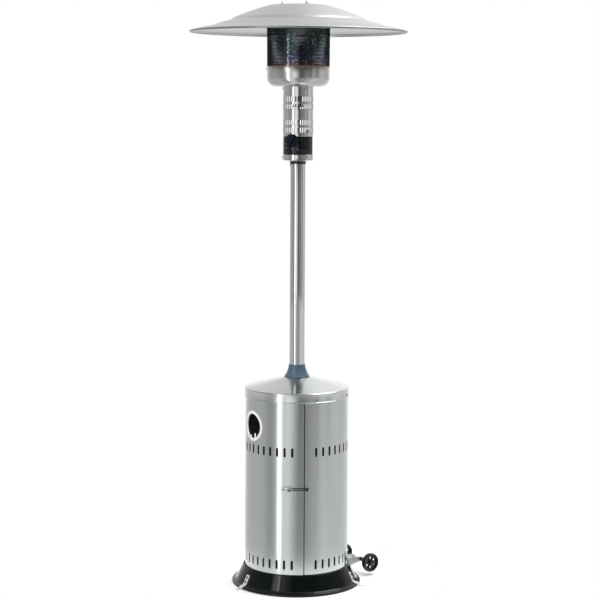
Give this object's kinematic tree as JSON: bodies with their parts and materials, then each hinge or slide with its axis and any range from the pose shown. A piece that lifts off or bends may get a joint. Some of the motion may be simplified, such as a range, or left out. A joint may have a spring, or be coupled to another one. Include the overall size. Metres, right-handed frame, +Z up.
{
  "type": "gas patio heater",
  "caption": "Floor-standing gas patio heater with a round bottle housing, hinged door, post, slotted burner column and wide stepped reflector.",
  "frame": {"origin": "on the heater's axis at floor level, under the middle of the base", "axes": "+Z up along the post; -Y towards the front seam and the viewer; +X to the viewer's right"},
  "size_m": [0.836, 0.836, 2.213],
  "materials": {
    "black_gloss": "gloss black enamel",
    "zinc_plated": "zinc plated steel",
    "wheel_plastic": "matt black moulded plastic",
    "black_plastic": "satin black moulded plastic",
    "stainless": "brushed stainless steel",
    "white_plastic": "white moulded edge trim",
    "blue_grey_plastic": "satin blue-grey moulded plastic",
    "brass": "machined brass",
    "aluminium_pipe": "drawn aluminium",
    "heat_tinted": "dark heat-tinted steel",
    "spun_aluminium": "satin spun aluminium"
  },
  "bodies": {
    "frame": {"anchor_bracket_1": "zinc_plated", "anchor_bracket_2": "zinc_plated", "anchor_bracket_3": "zinc_plated", "anchor_screws": "zinc_plated", "axle_fittings": "black_plastic", "base_pan": "black_gloss", "bowl_ring": "zinc_plated", "burner_bowl": "stainless", "burner_cap": "stainless", "burner_column": "stainless", "burner_plate": "stainless", "column_foot": "stainless", "control_panel": "black_plastic", "cover_screws": "stainless", "emitter_screen": "heat_tinted", "emitter_top_plate": "heat_tinted", "frame_bolts": "zinc_plated", "gas_injector": "brass", "gas_inlet": "brass", "gas_pipe": "aluminium_pipe", "gas_valve": "brass", "head_screws": "stainless", "hinge_fixed_leaves": "zinc_plated", "hinge_pins": "zinc_plated", "housing_shell": "stainless", "injector_bridge": "zinc_plated", "latch_keeper": "stainless", "mixing_tube": "stainless", "mount_plate": "zinc_plated", "pilot_burner": "brass", "pilot_electrodes": "heat_tinted", "post": "stainless", "post_collar": "blue_grey_plastic", "post_socket": "zinc_plated", "post_top_ring": "black_plastic", "reflector": "spun_aluminium", "reflector_spacers": "stainless", "reflector_studs": "stainless", "support_leg_1": "zinc_plated", "support_leg_2": "zinc_plated", "support_leg_3": "zinc_plated", "tilt_switch": "black_plastic", "top_cover": "stainless", "valve_bracket": "zinc_plated", "wheel_axle": "zinc_plated", "wheel_bracket": "zinc_plated", "wheel_bracket_bolts": "zinc_plated"},
    "door": {"housing_door": "stainless", "hand_hole_trim": "white_plastic", "hinge_door_leaves": "zinc_plated", "latch_base": "black_plastic", "latch_rivets": "zinc_plated"},
    "latch_arm": {"latch_lever": "stainless"},
    "latch_wire": {"latch_bail": "stainless", "latch_hook": "black_plastic"},
    "spindle": {"knob_spindle": "stainless"},
    "knob": {"control_knob": "black_plastic"},
    "wheel_l": {"wheel_left": "wheel_plastic"},
    "wheel_r": {"wheel_right": "wheel_plastic"}
  },
  "joints": [
    {"name": "door_hinge", "type": "hinge", "parent": "frame", "child": "door", "pos_m": [-0.02985, 0.19736, 0.39], "axis": [0, 0, -1], "range_deg": [0, 105]},
    {"name": "latch_lever_pivot", "type": "hinge", "parent": "door", "child": "latch_arm", "pos_m": [-0.02504, -0.20397, 0.3882], "axis": [0, 0, 1], "range_deg": [0, 140]},
    {"name": "latch_wire_pivot", "type": "hinge", "parent": "latch_arm", "child": "latch_wire", "pos_m": [-0.03286, -0.202, 0.3882], "axis": [0, 0, 1], "range_deg": [-140, 0]},
    {"name": "knob_push", "type": "slide", "parent": "frame", "child": "spindle", "axis": [0.3907, 0.9205, 0], "range_m": [0, 0.003], "stiffness_N_per_m": 500},
    {"name": "knob_turn", "type": "hinge", "parent": "spindle", "child": "knob", "pos_m": [-0.02579, -0.06075, 1.681], "axis": [0.3907, 0.9205, 0], "range_deg": [0, 180]},
    {"name": "wheel_left_spin", "type": "hinge", "parent": "frame", "child": "wheel_l", "pos_m": [0.23849, 0.15785, 0.047], "axis": [-0.5519, 0.8339, 0], "continuous": true},
    {"name": "wheel_right_spin", "type": "hinge", "parent": "frame", "child": "wheel_r", "pos_m": [0.23849, 0.15785, 0.047], "axis": [-0.5519, 0.8339, 0], "continuous": true}
  ],
  "couplings": [
    {"joint": "latch_wire_pivot", "follows": "latch_lever_pivot", "ratio": -1}
  ]
}
